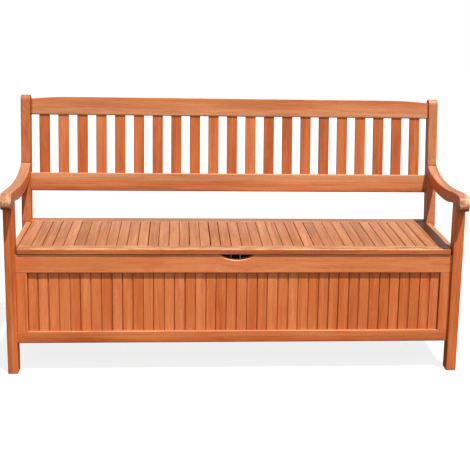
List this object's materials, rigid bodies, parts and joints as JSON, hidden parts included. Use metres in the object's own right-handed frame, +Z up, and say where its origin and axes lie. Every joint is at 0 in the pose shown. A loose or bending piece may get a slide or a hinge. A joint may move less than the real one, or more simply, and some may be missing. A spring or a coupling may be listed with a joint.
{
  "type": "garden storage bench",
  "caption": "Wooden three-seat garden bench with a slatted back, curved armrests and a slatted seat that opens as the lid of a panelled storage chest.",
  "frame": {"origin": "on the floor, in the middle of the overall width and depth", "axes": "+X to the right end seen from the front, +Y to the back, +Z up"},
  "size_m": [1.561, 0.5796, 0.9],
  "materials": {
    "hardwood": "oiled",
    "steel": "satin"
  },
  "bodies": {
    "frame": {"back_top_rail": "hardwood", "back_bottom_rail": "hardwood", "back_slats": "hardwood", "front_top_rail": "hardwood", "front_bottom_rail": "hardwood", "front_boards": "hardwood", "rear_top_rail": "hardwood", "rear_bottom_rail": "hardwood", "rear_boards": "hardwood", "floor_cleat_front": "hardwood", "floor_cleat_rear": "hardwood", "floor_slats": "hardwood", "seat_rear_strip": "hardwood", "hinge_leaves_fixed": "steel", "hinge_pins": "steel", "hinge_screws_fixed": "steel", "frame_bolts": "steel", "arm_bolts": "steel", "barrel_nuts": "steel", "front_leg_left": "hardwood", "front_leg_right": "hardwood", "back_post_left": "hardwood", "back_post_right": "hardwood", "armrest_left": "hardwood", "armrest_right": "hardwood", "front_stile_left": "hardwood", "front_stile_right": "hardwood", "rear_stile_left": "hardwood", "rear_stile_right": "hardwood", "side_top_rail_left": "hardwood", "side_top_rail_right": "hardwood", "side_bottom_rail_left": "hardwood", "side_bottom_rail_right": "hardwood", "side_boards_left": "hardwood", "side_boards_right": "hardwood"},
    "lid": {"lid_front_rail": "hardwood", "lid_slats": "hardwood", "lid_rear_batten": "hardwood", "lid_middle_batten": "hardwood", "hinge_leaves_lid": "steel", "hinge_screws_lid": "steel", "lid_end_board_left": "hardwood", "lid_end_board_right": "hardwood"}
  },
  "joints": [
    {"name": "lid_hinge", "type": "hinge", "parent": "frame", "child": "lid", "pos_m": [0, 0.17866, 0.439], "axis": [-1, 0, 0], "range_deg": [0, 98]}
  ]
}
